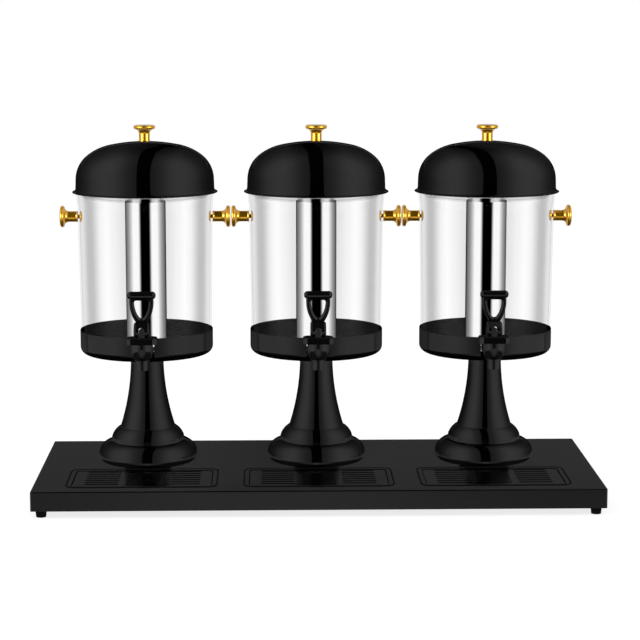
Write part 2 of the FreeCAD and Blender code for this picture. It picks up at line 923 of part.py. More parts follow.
def side_knobs(name, step):
    """The two knobs on the container's sides, each with a domed head inside the wall."""
    body = new_body(name, unit_spot(step, up=dim.side_knob_up))
    head_out = dim.side_knob_base - dim.container_wall - dim.knob_head_gap
    head_in = head_out - dim.knob_head_thick
    sides = {"flare": "left", "cap": "right"}
    corners = [
        (head_in, 0), (head_in, dim.knob_head / 2, "right", dim.knob_head / 2),
        (head_out - dim.knob_head_edge, dim.knob_head), (head_out, dim.knob_head),
        (head_out, dim.knob_stud), (dim.side_knob_base, dim.knob_stud),
    ]
    length = dim.side_knob_reach - dim.side_knob_base
    for along, radius, *bend in knob_corners(dim.side_knob_base, length):
        corners.append((along, radius, sides[bend[0]], bend[1]) if bend else (along, radius))
    corners.append((dim.side_knob_reach, 0))
    right = revolve(body, draw_outline(new_sketch(body, "XZ_Plane"), corners), axis="H_Axis")
    mirror(body, right, "YZ_Plane")


# The tap. Its own axis is vertical and stands in front of the cup.

def tap_body(name, step):
    """Barrel with a spout, a valve chamber with its seat, and a shank through the container's wall."""
    body = new_body(name, unit_spot(step, dim.tap_out))
    shape = draw_outline(new_sketch(body, "XZ_Plane"), [
        (0, dim.spout_low),
        (dim.spout_radius, dim.spout_low),
        (dim.spout_radius, dim.barrel_low),
        (dim.barrel_low_radius, dim.barrel_low),
        (dim.barrel_low_radius, dim.barrel_low + dim.barrel_low_edge, "left", dim.barrel_bulge),
        (dim.barrel_radius, dim.barrel_bulge_top),
        (dim.barrel_radius, dim.barrel_top),
        (dim.barrel_neck, dim.barrel_top),
        (dim.barrel_neck, dim.bonnet_high - dim.bonnet_roof),
        (0, dim.bonnet_high - dim.bonnet_roof),
    ])
    revolve(body, shape)
    flange_back = dim.tap_out - dim.boss_front
    flange_front = flange_back - dim.shank_flange_thick
    neck = draw_circle(new_sketch(body, "XZ_Plane"), 0, dim.shank_up, dim.shank_neck)
    pad(body, neck, flange_back, reverse=True)
    flange = draw_circle(new_sketch(body, "XZ_Plane", -flange_front), 0, dim.shank_up, dim.shank_flange)
    pad(body, flange, dim.shank_flange_thick, reverse=True)
    shank = draw_circle(new_sketch(body, "XZ_Plane"), 0, dim.shank_up, dim.shank_radius)
    pad(body, shank, dim.tap_out - dim.shank_inner_end, reverse=True)
    bore = draw_outline(new_sketch(body, "XZ_Plane"), [
        (0, dim.spout_low), (dim.spout_bore, dim.spout_low),
        (dim.spout_bore, dim.seat_up), (dim.chamber_radius, dim.seat_up),
        (dim.chamber_radius, dim.bonnet_high), (0, dim.bonnet_high),
    ])
    groove(body, bore)
    inlet = draw_circle(new_sketch(body, "XZ_Plane"), 0, dim.shank_up, dim.inlet_radius)
    pocket(body, inlet, dim.tap_out)


def tap_bonnet(name, step):
    """Cap with cut corners that closes the valve chamber and guides the stem."""
    body = new_body(name, unit_spot(step, dim.tap_out))
    across = dim.bonnet_width / 2
    along = dim.bonnet_depth / 2
    cut = dim.bonnet_cut
    plan = draw_outline(new_sketch(body, "XY_Plane", dim.bonnet_low), [
        (cut - across, -along), (across - cut, -along),
        (across, cut - along), (across, along - cut),
        (across - cut, along), (cut - across, along),
        (-across, along - cut), (-across, cut - along),
    ])
    height = dim.bonnet_high - dim.bonnet_low
    pad(body, plan, height)
    top = dim.bonnet_high.value
    soften(body, "Chamfer", dim.bonnet_bevel, lambda edge: lies_at(top, edge))
    inside = draw_circle(new_sketch(body, "XY_Plane", dim.bonnet_low), 0, 0, dim.barrel_neck + dim.bonnet_gap)
    pocket(body, inside, height - dim.bonnet_roof, reverse=True)
    guide = draw_circle(new_sketch(body, "XY_Plane", dim.bonnet_high), 0, 0, dim.stem_radius + dim.stem_gap)
    pocket(body, guide, 2 * dim.bonnet_roof)


def seal_top():
    return dim.seat_up + dim.container_gap + dim.seal_thick


def tap_stem(name, step):
    """Valve stem with a shoulder for the spring, a nub for the seal and a cross hole for the pin."""
    body = new_body(name, unit_spot(step, dim.tap_out))
    low = seal_top()
    nub = dim.stem_nub
    shoulder_top = low + dim.stem_shoulder_thick
    head = dim.pin_up + dim.stem_head
    shape = draw_outline(new_sketch(body, "XZ_Plane"), [
        (0, low - nub), (nub, low - nub), (nub, low),
        (dim.stem_shoulder, low), (dim.stem_shoulder, shoulder_top),
        (dim.stem_radius, shoulder_top),
        (dim.stem_radius, head - dim.stem_radius, "left", dim.stem_radius),
        (0, head),
    ])
    revolve(body, shape)
    cross = draw_circle(new_sketch(body, "YZ_Plane"), 0, dim.pin_up, dim.pin_radius)
    pocket(body, cross, 4 * dim.stem_radius, side="Symmetric")


def tap_seal(name, step):
    """Soft disc that the stem presses on the seat."""
    body = new_body(name, unit_spot(step, dim.tap_out))
    low = dim.seat_up + dim.container_gap
    nub = dim.stem_nub
    shape = draw_outline(new_sketch(body, "XZ_Plane"), [
        (0, low), (dim.spout_bore + dim.seal_land, low),
        (dim.seal_radius, low + dim.seal_bevel), (dim.seal_radius, seal_top()),
        (nub, seal_top()), (nub, seal_top() - nub), (0, seal_top() - nub),
    ])
    revolve(body, shape)


def tap_spring(name, step):
    """Return spring between the bonnet and the stem's shoulder, as a sleeve of the wire's thickness."""
    body = new_body(name, unit_spot(step, dim.tap_out))
    low = seal_top() + dim.stem_shoulder_thick
    high = dim.bonnet_high - dim.bonnet_roof
    inner = dim.spring_radius - dim.spring_wire
    outer = dim.spring_radius + dim.spring_wire
    shape = draw_outline(new_sketch(body, "XZ_Plane"), [
        (inner, low), (outer, low), (outer, high), (inner, high),
    ])
    revolve(body, shape)


def tap_lever_pin(name, step):
    """Cross pin, fast in the stem, on which the lever turns. Its ends are bevelled."""
    body = new_body(name, unit_spot(step, dim.tap_out, dim.pin_up))
    half = dim.hub_width / 2
    bevel = dim.pin_bevel
    shape = draw_outline(new_sketch(body, "XZ_Plane"), [
        (-half, 0), (-half, dim.pin_radius - bevel), (bevel - half, dim.pin_radius),
        (half - bevel, dim.pin_radius), (half, dim.pin_radius - bevel), (half, 0),
    ])
    revolve(body, shape, axis="H_Axis")


def tap_nut(name, step):
    """Hex nut that clamps the shank to the container's wall from inside."""
    body = new_body(name, unit_spot(step, dim.boss_back, dim.shank_up))
    side = dim.nut_flats / (2 * math.sqrt(3))
    flat = dim.nut_flats / 2
    plan = new_sketch(body, "XZ_Plane")
    draw_outline(plan, [
        (-side, -flat), (side, -flat), (2 * side, 0), (side, flat), (-side, flat), (-2 * side, 0),
    ])
    draw_circle(plan, 0, 0, dim.shank_radius + dim.nut_gap)
    pad(body, plan, dim.nut_thick, reverse=True)


def tap_lever(name, step):
    """D-shaped pull lever. Its origin is the pin. The fork's cams lift the stem as the top tilts forward."""
    body = new_body(name, unit_spot(step, dim.tap_out, dim.pin_up))
    neck = dim.neck_width / 2
    shoulder = dim.shoulder_width / 2
    plate = draw_outline(new_sketch(body, "XZ_Plane"), [
        (-neck, 0), (neck, 0), (neck, dim.hub_top, "left", dim.lever_sweep),
        (shoulder, dim.grip_up), (-shoulder, dim.grip_up, "left", dim.lever_sweep),
        (-neck, dim.hub_top),
    ])
    pad(body, plate, dim.lever_thick, side="Symmetric")
    sides = (dim.hub_top.value, dim.grip_up.value)
    soften(body, "Fillet", dim.lever_round, lambda edge: spans(edge, sides))
    pocket(body, draw_finger_loop(new_sketch(body, "XZ_Plane")), 2 * dim.lever_thick, side="Symmetric")
    loop = (dim.loop_low.value, dim.loop_high.value)
    soften(body, "Chamfer", dim.loop_bevel, lambda edge: is_rim_edge(edge, loop))
    bar = dim.grip_length / 2
    end = dim.grip_end
    bend_up = dim.grip_up + dim.grip_radius - end
    top = dim.grip_up + dim.grip_radius
    grip = draw_outline(new_sketch(body, "XZ_Plane"), [
        (-bar, dim.grip_up), (-bar, bend_up, "right", end),
        (end - bar, top), (bar - end, top, "right", end),
        (bar, bend_up), (bar, dim.grip_up),
    ])
    bottom_edge_revolve(body, grip)
    forward = dim.cam_throw * cosine(dim.cam_lag)
    rise = dim.cam_throw * sine(dim.cam_lag)
    foot = dim.pin_up - dim.bonnet_high - dim.container_gap
    cam = foot + rise
    back = dim.heel_back
    hub = draw_outline(new_sketch(body, "YZ_Plane"), [
        (-forward, -foot), (back, -foot), (back, 0),
        (dim.lever_thick / 2, dim.hub_top), (-dim.lever_thick / 2, dim.hub_top),
        (-forward - cam * sine(dim.cam_turn), rise + cam * cosine(dim.cam_turn), "left", cam),
        (-forward - cam, rise, "left", cam),
    ])
    pad(body, hub, dim.hub_width, side="Symmetric")
    side = dim.hub_width.value / 2
    soften(body, "Fillet", dim.hub_round, lambda edge: lies_beside(side, edge))
    gap = dim.fork_gap / 2
    arch = draw_outline(new_sketch(body, "XZ_Plane"), [
        (-gap, -2 * foot), (gap, -2 * foot),
        (gap, dim.fork_arch_up - gap, "left", gap), (0, dim.fork_arch_up, "left", gap),
        (-gap, dim.fork_arch_up - gap),
    ])
    pocket(body, arch, 4 * dim.hub_width, side="Symmetric")
    hole = draw_circle(new_sketch(body, "YZ_Plane"), 0, 0, dim.pin_radius + dim.pin_gap)
    pocket(body, hole, 2 * dim.hub_width, side="Symmetric")


def draw_finger_loop(sketch):
    """A rounded loop, narrow at the bottom, whose arcs run smoothly into each other."""
    half = dim.loop_width / 2
    corner = dim.loop_corner
    bottom = dim.loop_bottom
    straight_up = dim.loop_high - corner
    rise = straight_up - dim.loop_low - bottom
    sweep = (half * half + rise * rise - bottom * bottom) / (2 * (half - bottom))
    share = sweep / (sweep - bottom)
    touch_out = (half - sweep) * (1 - share)
    touch_up = straight_up - rise * share
    return draw_outline(sketch, [
        (-touch_out, touch_up, "left", bottom),
        (touch_out, touch_up, "left", sweep),
        (half, straight_up, "left", corner),
        (half - corner, dim.loop_high),
        (corner - half, dim.loop_high, "left", corner),
        (-half, straight_up, "left", sweep),
    ])


def spans(edge, heights):
    """True for an edge that runs from one height to the other."""
    box = edge.BoundBox
    return abs(box.ZMin - heights[0]) < 1e-4 and abs(box.ZMax - heights[1]) < 1e-4 and box.YLength < 1e-6


def is_rim_edge(edge, heights):
    """True for an edge in a flat face of the lever, between two heights and clear of its outer sides."""
    box = edge.BoundBox
    inside = box.ZMin > heights[0] - 1e-4 and box.ZMax < heights[1] + 1e-4
    return box.YLength < 1e-6 and inside and max(-box.XMin, box.XMax) < dim.loop_width.value / 2 + 1e-4


def bottom_edge_revolve(body, grip):
    """Turn the grip's half outline about its lower edge."""
    lower_edge = grip.GeometryCount
    feature = add_feature(body, "Revolution", grip, ReferenceAxis=(grip, [f"Edge{lower_edge}"]), Angle=360)
    document.recompute()
    return feature


# Drip tray and grid. Their origins lie on the plate's top face in the middle of the tray.

def tray_middle():
    return -(dim.tray_front + dim.tray_back) / 2


def tray_depth():
    return dim.tray_front - dim.tray_back


def tray_recess_outer():
    """Width and depth of the stepped part of the tray that drops into the plate's opening."""
    step_in = 2 * (dim.tray_rim - dim.tray_sheet)
    return dim.tray_width - step_in, tray_depth() - step_in


def tray_spot(step):
    return (dim.unit_pitch * step, tray_middle(), plate_top)


def drip_tray(name, step):
    """Stepped pan: a rim on the plate, a recess for the grid, a ledge under it and a basin."""
    body = new_body(name, tray_spot(step))
    sheet_wall = dim.tray_sheet
    width, depth = tray_recess_outer()
    corner = dim.tray_corner - dim.tray_rim + sheet_wall
    basin_width = width - 2 * dim.tray_ledge
    basin_depth = depth - 2 * dim.tray_ledge
    rim_low = dim.tray_lift
    ledge = rim_low - dim.tray_recess
    basin_low = dim.tray_floor - plate_top
    rim = new_sketch(body, "XY_Plane", rim_low)
    draw_box(rim, dim.tray_width, tray_depth(), corner=dim.tray_corner)
    pad(body, rim, sheet_wall)
    recess = draw_box(new_sketch(body, "XY_Plane", ledge - sheet_wall), width, depth, corner=corner)
    pad(body, recess, dim.tray_recess + 2 * sheet_wall)
    basin = draw_box(new_sketch(body, "XY_Plane", basin_low), basin_width, basin_depth, corner=corner)
    pad(body, basin, ledge - basin_low)
    soften(body, "Fillet", dim.tray_bend, lambda edge: lies_at(basin_low.value, edge))
    seat = draw_box(new_sketch(body, "XY_Plane", rim_low + sheet_wall), width - 2 * sheet_wall,
                    depth - 2 * sheet_wall, corner=corner - sheet_wall)
    pocket(body, seat, dim.tray_recess + sheet_wall)
    inside = draw_box(new_sketch(body, "XY_Plane", ledge), basin_width - 2 * sheet_wall,
                      basin_depth - 2 * sheet_wall, corner=corner - sheet_wall)
    pocket(body, inside, ledge - basin_low - sheet_wall)


def drip_grid(name, step):
    """Slotted cover, a little below the tray's rim, whose turned-down edge rests on the ledge."""
    body = new_body(name, tray_spot(step))
    width, depth = tray_recess_outer()
    slack = 2 * (dim.tray_sheet + dim.grid_gap)
    corner = dim.tray_corner - dim.tray_rim - dim.grid_gap
    top = dim.tray_lift + dim.tray_sheet - dim.grid_sink
    low = dim.tray_lift - dim.tray_recess + dim.container_gap
    wall = dim.grid_thick
    shell = draw_box(new_sketch(body, "XY_Plane", low), width - slack, depth - slack, corner=corner)
    pad(body, shell, top - low)
    under = draw_box(new_sketch(body, "XY_Plane", low), width - slack - 2 * wall, depth - slack - 2 * wall,
                     corner=corner - wall)
    pocket(body, under, top - low - wall, reverse=True)
    row = new_sketch(body, "XY_Plane", top)
    rows = int(dim.slot_rows.value)
    first = dim.slot_shift - dim.slot_pitch * (rows - 1) / 2
    for column_step in UNIT_STEPS.values():
        draw_slot(row, dim.group_pitch * column_step, first, dim.slot_length, dim.slot_width)
    slots = pocket(body, row, 2 * wall)
    repeat(body, [slots], "Y_Axis", dim.slot_pitch * (rows - 1), rows)


SHARED_PIECES = [base_plate, rubber_feet, pedestal_bolts]
UNIT_PIECES = [
    pedestal_base, column, cup, container, inner_cover, ice_tube, lid_shell, lid_knob, side_knobs,
    tap_body, tap_bonnet, tap_stem, tap_seal, tap_spring, tap_lever_pin, tap_nut, tap_lever,
    drip_tray, drip_grid,
]


def build():
    """Make every piece and return the names of the nodes."""
    names = []
    for make in SHARED_PIECES:
        make()
        names.append(make.__name__)
    for side, step in UNIT_STEPS.items():
        for make in UNIT_PIECES:
            name = f"{make.__name__}_{side}"
            make(name, step)
            names.append(name)
    document.recompute()
    return names


def check_document(names):
    """Stop if any object failed, or if a piece has no valid shape."""
    for item in document.Objects:
        if "Invalid" in item.State or "Error" in item.State:
            raise RuntimeError(f"{item.Label} failed: {item.State}")
    for name in names:
        shape = document.getObject(name).Shape
        if shape.isNull() or not shape.isValid() or not shape.Solids:
            raise RuntimeError(f"{name} has no valid solid")


def export(names):
    os.makedirs("parts", exist_ok=True)
    for name in names:
        piece = document.getObject(name)
        piece.Shape.exportStep(f"parts/{piece.Label}.step")


piece_names = build()
check_document(piece_names)
export(piece_names)
print(f"{len(piece_names)} nodes written")
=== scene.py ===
import bpy
import math
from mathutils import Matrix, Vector


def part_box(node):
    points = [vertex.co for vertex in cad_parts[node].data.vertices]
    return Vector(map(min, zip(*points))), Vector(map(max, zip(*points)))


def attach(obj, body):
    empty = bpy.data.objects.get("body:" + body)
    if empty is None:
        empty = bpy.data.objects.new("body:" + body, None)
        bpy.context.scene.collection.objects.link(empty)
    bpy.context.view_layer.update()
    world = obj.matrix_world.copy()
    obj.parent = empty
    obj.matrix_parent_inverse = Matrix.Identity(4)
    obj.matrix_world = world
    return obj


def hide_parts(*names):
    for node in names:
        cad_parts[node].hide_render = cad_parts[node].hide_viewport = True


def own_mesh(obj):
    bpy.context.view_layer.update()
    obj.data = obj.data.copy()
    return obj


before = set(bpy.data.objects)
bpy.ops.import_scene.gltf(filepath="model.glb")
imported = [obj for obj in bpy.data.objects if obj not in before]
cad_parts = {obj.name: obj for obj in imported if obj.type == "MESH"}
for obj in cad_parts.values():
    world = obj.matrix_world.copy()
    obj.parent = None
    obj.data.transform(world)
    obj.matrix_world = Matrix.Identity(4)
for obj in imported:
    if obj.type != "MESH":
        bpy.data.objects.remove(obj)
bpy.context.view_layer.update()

# Looks of the triple juice dispenser. Metres. X runs to the right, Y to the back, Z up.

UNITS = ["left", "middle", "right"]
TRAY_RIM_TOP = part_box("drip_tray_middle")[1][2]
RIM_THICK = 0.001
CUP_LOW, CUP_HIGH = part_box("cup_middle")
CUP_RADIUS = (CUP_HIGH[0] - CUP_LOW[0]) / 2
CUP_WALL = 0.0012
UNIT_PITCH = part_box("lid_knob_right")[1][0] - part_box("lid_knob_middle")[1][0]
WHITE = (1, 1, 1, 1)


# Node helpers

def new_material(name):
    material = bpy.data.materials.new(name)
    material.use_nodes = True
    material.node_tree.nodes.clear()
    return material, material.node_tree


def add(tree, kind, *links, **settings):
    """A shader node. Its links are (input, value or output socket) pairs."""
    node = tree.nodes.new(kind)
    for key, value in settings.items():
        setattr(node, key, value)
    for name, value in links:
        if isinstance(value, bpy.types.NodeSocket):
            tree.links.new(value, node.inputs[name])
        else:
            node.inputs[name].default_value = value
    return node


def maths(tree, operation, first, second=0.0, third=0.0):
    links = [(0, first), (1, second), (2, third)]
    return add(tree, "ShaderNodeMath", *links, operation=operation).outputs[0]


def spread(tree, value, low, high, from_low=0.0, from_high=1.0):
    """A value carried over from one range to another."""
    source = [("Value", value), ("From Min", from_low), ("From Max", from_high)]
    target = [("To Min", low), ("To Max", high)]
    return add(tree, "ShaderNodeMapRange", *source, *target).outputs["Result"]


def place_of(tree, stretch=(1, 1, 1)):
    """Where a point lies on its piece, in metres, stretched along the axes."""
    spot = add(tree, "ShaderNodeTexCoord").outputs["Object"]
    return add(tree, "ShaderNodeMapping", ("Vector", spot), ("Scale", stretch)).outputs["Vector"]


def noise(tree, scale, detail=2.0, stretch=(1, 1, 1), rough=0.5):
    grain = [("Scale", scale), ("Detail", detail), ("Roughness", rough)]
    return add(tree, "ShaderNodeTexNoise", ("Vector", place_of(tree, stretch)), *grain).outputs["Fac"]


def bump(tree, height, strength, depth):
    links = [("Height", height), ("Strength", strength), ("Distance", depth)]
    return add(tree, "ShaderNodeBump", *links).outputs["Normal"]


def mixed_colour(tree, share, first, second):
    node = add(tree, "ShaderNodeMix", (0, share), (6, (*first, 1)), (7, (*second, 1)), data_type="RGBA")
    return node.outputs[2]


def ramp(tree, value, stops):
    """A value turned into a level by (value, level) stops, the first and last of which end its range."""
    low = stops[0][0]
    reach = stops[-1][0] - low
    node = add(tree, "ShaderNodeValToRGB", ("Fac", spread(tree, value, 0.0, 1.0, low, low + reach)))
    for number, (position, level) in enumerate(stops):
        elements = node.color_ramp.elements
        stop = elements[number] if number < 2 else elements.new(1.0)
        stop.position = (position - low) / reach
        stop.color = (level, level, level, 1)
    return node.outputs["Color"]


def finish_material(tree, shader):
    add(tree, "ShaderNodeOutputMaterial", ("Surface", shader))


def mirrored_ray(tree):
    """1 for a ray that a shiny surface has mirrored on its way, and 0 for the rest."""
    return maths(tree, "GREATER_THAN", add(tree, "ShaderNodeLightPath").outputs["Glossy Depth"], 0.5)


def open_to_rays(tree, share, shader):
    """The shader, let through by a share of the rays, 0 to 1."""
    clear = add(tree, "ShaderNodeBsdfTransparent")
    both = add(tree, "ShaderNodeMixShader", (0, share), (1, shader.outputs[0]), (2, clear.outputs[0]))
    finish_material(tree, both.outputs[0])


# Materials

def enamel_shader(tree, gloss=0.5):
    """Gloss enamel on spun steel: mirror-smooth, with a faint orange peel and hazy patches from wiping."""
    haze = noise(tree, 9, detail=4)
    peel = noise(tree, 420, detail=1)
    return add(
        tree, "ShaderNodeBsdfPrincipled",
        ("Base Color", mixed_colour(tree, haze, (0.0003, 0.0003, 0.0003), (0.0008, 0.0008, 0.0009))),
        ("Roughness", spread(tree, haze, 0.025, 0.06, 0.35, 0.7)),
        ("Normal", bump(tree, peel, 0.2, 0.00001)),
        ("Specular IOR Level", gloss),
        ("IOR", 1.44),
    )


def black_enamel():
    material, tree = new_material("gloss_black_enamel")
    finish_material(tree, enamel_shader(tree).outputs[0])
    return material


def from_unit_axis(tree):
    """How far a point lies to the right of its unit's upright axis, and how far behind it."""
    place = add(tree, "ShaderNodeSeparateXYZ", ("Vector", place_of(tree))).outputs
    along = maths(tree, "WRAP", place["X"], UNIT_PITCH / 2, -UNIT_PITCH / 2)
    return along, maths(tree, "SUBTRACT", place["Y"], CUP_HIGH[1] - CUP_RADIUS)


def cup_enamel(inner_gloss=0.1):
    """The same enamel for a cup, duller on its inside, where the container rubs."""
    material, tree = new_material("cup_black_enamel")
    along, behind = from_unit_axis(tree)
    square = maths(tree, "MULTIPLY_ADD", along, along, maths(tree, "POWER", behind, 2.0))
    outer = maths(tree, "GREATER_THAN", maths(tree, "SQRT", square), CUP_RADIUS - CUP_WALL / 2)
    finish_material(tree, enamel_shader(tree, spread(tree, outer, inner_gloss, 0.5)).outputs[0])
    return material


# How far a pedestal has faded from mirrors, by the distance from its middle plane in metres
MIRROR_FADING = [(0, 0.04), (0.011, 0.04), (0.02, 0.12), (0.03, 0.2), (0.036, 1)]


def pedestal_enamel(reach=0.15):
    """The same enamel for a pedestal. In mirrors it fades out beside its tap's line and further away."""
    material, tree = new_material("pedestal_black_enamel")
    beside = maths(tree, "ABSOLUTE", from_unit_axis(tree)[0])
    far = maths(tree, "GREATER_THAN", add(tree, "ShaderNodeLightPath").outputs["Ray Length"], reach)
    faded = maths(tree, "MAXIMUM", ramp(tree, beside, MIRROR_FADING), far)
    open_to_rays(tree, maths(tree, "MULTIPLY", faded, mirrored_ray(tree)), enamel_shader(tree))
    return material


def coat_shader(tree, gloss=0.5):
    """Smooth black powder coat: a softer mirror with a fine grain and a few worn, duller patches."""
    grain = noise(tree, 1500, detail=2)
    worn = noise(tree, 6, detail=5, rough=0.6)
    return add(
        tree, "ShaderNodeBsdfPrincipled",
        ("Base Color", mixed_colour(tree, worn, (0.0014, 0.0014, 0.0015), (0.0026, 0.0026, 0.0028))),
        ("Roughness", spread(tree, worn, 0.03, 0.08, 0.35, 0.7)),
        ("Normal", bump(tree, grain, 0.1, 0.00001)),
        ("Specular IOR Level", gloss),
        ("IOR", 1.42),
    )


def plate_coat():
    material, tree = new_material("satin_black_coat")
    finish_material(tree, coat_shader(tree).outputs[0])
    return material


def tray_coat(gloss_from):
    """The plate's coat on faces that look up from above a height. Walls and the inside are left dull."""
    material, tree = new_material("tray_black_coat")
    normal = add(tree, "ShaderNodeNewGeometry").outputs["Normal"]
    upright = add(tree, "ShaderNodeSeparateXYZ", ("Vector", normal)).outputs["Z"]
    height = add(tree, "ShaderNodeSeparateXYZ", ("Vector", place_of(tree))).outputs["Z"]
    is_top = maths(tree, "GREATER_THAN", upright, 0.9)
    is_high = maths(tree, "GREATER_THAN", height, gloss_from)
    gloss = maths(tree, "MULTIPLY", maths(tree, "MULTIPLY", is_top, is_high), 0.5)
    finish_material(tree, coat_shader(tree, gloss).outputs[0])
    return material


def moulded_black():
    """Gloss moulded plastic with faint flow marks and fingerprints that dull it in places."""
    material, tree = new_material("gloss_black_plastic")
    prints = noise(tree, 60, detail=4, rough=0.65)
    flow = noise(tree, 30, detail=2, stretch=(1, 1, 3))
    shader = add(
        tree, "ShaderNodeBsdfPrincipled",
        ("Base Color", mixed_colour(tree, flow, (0.0028, 0.0028, 0.003), (0.005, 0.005, 0.0054))),
        ("Roughness", spread(tree, prints, 0.03, 0.08, 0.35, 0.7)),
        ("Normal", bump(tree, prints, 0.1, 0.00002)),
        ("IOR", 1.49),
    )
    finish_material(tree, shader.outputs[0])
    return material


def matte_black():
    """Matte moulded plastic of the valve stem."""
    material, tree = new_material("matte_black_plastic")
    grain = noise(tree, 900, detail=3)
    shader = add(
        tree, "ShaderNodeBsdfPrincipled",
        ("Base Color", mixed_colour(tree, grain, (0.012, 0.012, 0.013), (0.02, 0.02, 0.021))),
        ("Roughness", spread(tree, grain, 0.45, 0.6)),
        ("Normal", bump(tree, grain, 0.4, 0.00003)),
    )
    finish_material(tree, shader.outputs[0])
    return material


def rubber():
    material, tree = new_material("black_rubber")
    grain = noise(tree, 700, detail=4)
    shader = add(
        tree, "ShaderNodeBsdfPrincipled",
        ("Base Color", mixed_colour(tree, grain, (0.002, 0.002, 0.002), (0.005, 0.005, 0.005))),
        ("Roughness", spread(tree, grain, 0.6, 0.8)),
        ("Normal", bump(tree, grain, 0.5, 0.00005)),
        ("Specular IOR Level", 0.15),
    )
    finish_material(tree, shader.outputs[0])
    return material


def silicone():
    material, tree = new_material("milky_silicone")
    cloud = noise(tree, 120, detail=3)
    shader = add(
        tree, "ShaderNodeBsdfPrincipled",
        ("Base Color", mixed_colour(tree, cloud, (0.72, 0.72, 0.69), (0.8, 0.8, 0.77))),
        ("Roughness", spread(tree, cloud, 0.4, 0.55)),
        ("Subsurface Weight", 0.2),
    )
    finish_material(tree, shader.outputs[0])
    return material


def metal(
    name, light, dark, rough, line_scale,
    stretch=(1, 1, 1), purity=1.0, lacquer=0.0, edge=(1, 1, 1),
):
    """Polished metal with fine lines from the tool that finished it, and a lacquer where it has one."""
    material, tree = new_material(name)
    lines = noise(tree, line_scale, detail=3, stretch=stretch)
    smears = noise(tree, 25, detail=4, rough=0.6)
    shader = add(
        tree, "ShaderNodeBsdfPrincipled",
        ("Base Color", mixed_colour(tree, smears, light, dark)),
        ("Roughness", spread(tree, smears, rough[0], rough[1], 0.35, 0.7)),
        ("Normal", bump(tree, lines, 0.12, 0.00001)),
        ("Metallic", purity),
        ("Specular Tint", (*edge, 1)),
        ("Coat Weight", lacquer),
        ("Coat Roughness", 0.06),
    )
    finish_material(tree, shader.outputs[0])
    return material


# How much light the clear plastic lets through, from facing, 0, to edge on, 1. Its dips are painted
# reflection: grey bands that stand in for the dark studio mirrored where the walls are seen aslant
PLASTIC_CLARITY_WITH_PAINTED_BANDS = [
    (0, 0.95), (0.05, 0.925), (0.11, 0.96), (0.2, 0.99), (0.28, 0.967), (0.34, 0.915), (0.42, 0.848),
    (0.52, 0.848), (0.66, 0.94), (0.85, 0.92), (1, 0.91),
]
# A thin wall hardly bends what is seen through it
PLASTIC_INDEX = 1.001
PLASTIC_SHEEN = 0.004


def clear_plastic():
    """Clear moulded plastic that lets lamp light through, with faint mould waves and wiping haze, and
    painted reflection: grey bands where its walls are seen aslant.
    """
    material, tree = new_material("clear_plastic")
    waves = noise(tree, 14, detail=1)
    haze = noise(tree, 30, detail=4, rough=0.65)
    facing = add(tree, "ShaderNodeLayerWeight", ("Blend", 0.5)).outputs["Facing"]
    ripples = bump(tree, waves, 0.05, 0.00002)
    # painted reflection: the see-through colour dips into grey bands by facing, in place of the dark
    # studio mirrored in the walls
    clarity_and_painted_bands = ramp(tree, facing, PLASTIC_CLARITY_WITH_PAINTED_BANDS)
    clouding = spread(tree, haze, 0.0, 0.01, 0.5, 0.8)
    body = add(
        tree, "ShaderNodeBsdfRefraction",
        ("Color", clarity_and_painted_bands), ("Roughness", clouding), ("Normal", ripples), ("IOR", PLASTIC_INDEX),
    )
    sheen = add(
        tree, "ShaderNodeBsdfGlossy",
        ("Color", WHITE), ("Roughness", clouding), ("Normal", ripples),
    )
    both_ways = [(1, body.outputs[0]), (2, sheen.outputs[0])]
    glass = add(tree, "ShaderNodeMixShader", (0, PLASTIC_SHEEN), *both_ways)
    ray = add(tree, "ShaderNodeLightPath")
    lamp_ray = maths(tree, "MAXIMUM", ray.outputs["Is Shadow Ray"], ray.outputs["Is Diffuse Ray"])
    open_way = add(tree, "ShaderNodeBsdfTransparent", ("Color", (0.94, 0.95, 0.955, 1)))
    both = add(tree, "ShaderNodeMixShader", (0, lamp_ray), (1, glass.outputs[0]), (2, open_way.outputs[0]))
    finish_material(tree, both.outputs[0])
    return material


# Kinds of node that shiny parts mirror. They mirror the studio in place of all the others
MIRRORED = ["pedestal_base"]


